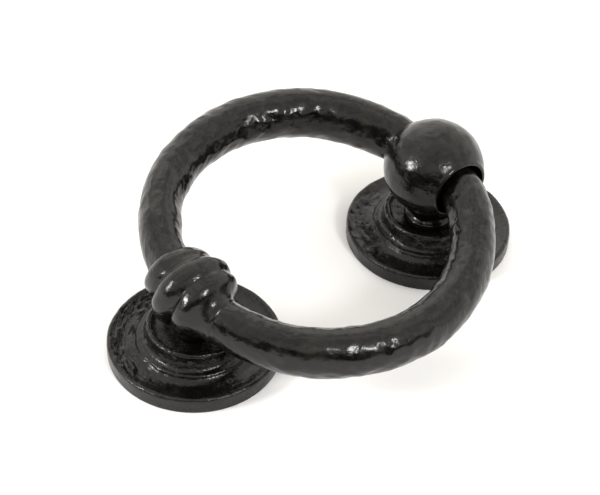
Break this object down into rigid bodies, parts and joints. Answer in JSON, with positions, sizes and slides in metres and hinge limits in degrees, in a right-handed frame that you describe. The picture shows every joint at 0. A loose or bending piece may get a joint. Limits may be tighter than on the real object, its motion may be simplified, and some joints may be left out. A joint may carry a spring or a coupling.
{
  "type": "door knocker",
  "caption": "Blacksmith-style ring door knocker: a hammered ring swings in a bored ball on a stepped rose, and its beaded knuckle strikes a stud on another rose.",
  "frame": {"origin": "on the door's face, midway between the two roses", "axes": "+Y up the door from the strike rose to the pivot rose, +Z away from the door, +X to the right as the visitor sees it"},
  "size_m": [0.1288, 0.171, 0.052],
  "materials": {
    "black_iron": "thick glossy black coat over hammered iron",
    "zinc_steel": "zinc-plated steel"
  },
  "bodies": {
    "door_side": {"pivot_rose": "black_iron", "pivot_post": "black_iron", "pivot_washer": "zinc_steel", "pivot_nut": "zinc_steel", "strike_rose": "black_iron", "strike_stud": "black_iron", "strike_washer": "zinc_steel", "strike_nut": "zinc_steel"},
    "ring": {"ring_bar": "black_iron", "knuckle_sleeve": "black_iron", "knuckle_pin_left": "black_iron", "knuckle_pin_right": "black_iron"}
  },
  "joints": [
    {"name": "ring_swing", "type": "hinge", "parent": "door_side", "child": "ring", "pos_m": [0, 0.054, 0.0331], "axis": [-1, 0, 0], "range_deg": [0, 190]}
  ]
}
